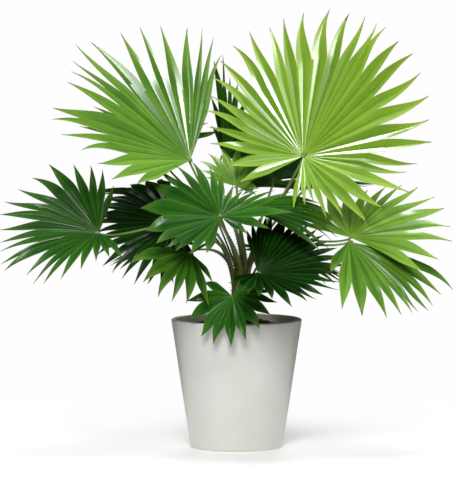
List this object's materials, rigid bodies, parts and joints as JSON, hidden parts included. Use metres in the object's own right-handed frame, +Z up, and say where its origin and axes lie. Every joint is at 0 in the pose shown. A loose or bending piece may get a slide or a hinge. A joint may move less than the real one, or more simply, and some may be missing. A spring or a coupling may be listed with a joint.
{
  "type": "potted chinese fan palm",
  "caption": "Potted fan palm: a short stem carries arching stalks, each with a folded round fan split into pointed leaflets, in a plain tapered white pot.",
  "frame": {"origin": "middle of the flat underside of the pot", "axes": "+Z up, -Y towards the front of the plant, +X to its right seen from the front"},
  "size_m": [0.9986, 0.7968, 0.9744],
  "materials": {
    "pot": "satin white glaze",
    "soil": "dark crumbly potting soil",
    "bark": "rough olive brown leaf bases and fibre",
    "stalk": "smooth green to yellow brown",
    "frond_bright": "glossy yellow green leaf",
    "frond_green": "glossy mid green leaf",
    "frond_dark": "glossy dark green leaf"
  },
  "bodies": {
    "root": {"pot": "pot", "soil": "soil", "stem": "bark", "stalk_upper_right": "stalk", "frond_upper_right": "frond_bright", "stalk_upper_left": "stalk", "frond_upper_left": "frond_green", "stalk_upper_back": "stalk", "frond_upper_back": "frond_dark", "stalk_far_left": "stalk", "frond_far_left": "frond_dark", "stalk_front_middle": "stalk", "frond_front_middle": "frond_green", "stalk_low_left": "stalk", "frond_low_left": "frond_green", "stalk_mid_left": "stalk", "frond_mid_left": "frond_dark", "stalk_low_right": "stalk", "frond_low_right": "frond_dark", "stalk_far_right": "stalk", "frond_far_right": "frond_green", "stalk_mid_right": "stalk", "frond_mid_right": "frond_green", "stalk_centre_right": "stalk", "frond_centre_right": "frond_dark", "stalk_front_low": "stalk", "frond_front_low": "frond_dark", "stalk_inner_small": "stalk", "frond_inner_small": "frond_green", "stalk_inner_right": "stalk", "frond_inner_right": "frond_dark", "stalk_back_right": "stalk", "frond_back_right": "frond_green", "stalk_back_left": "stalk", "frond_back_left": "frond_dark", "stalk_back_low_left": "stalk", "frond_back_low_left": "frond_dark", "stalk_back_low_right": "stalk", "frond_back_low_right": "frond_dark", "stalk_rear_right": "stalk", "frond_rear_right": "frond_green", "stalk_rear_left": "stalk", "frond_rear_left": "frond_green"}
  },
  "joints": []
}
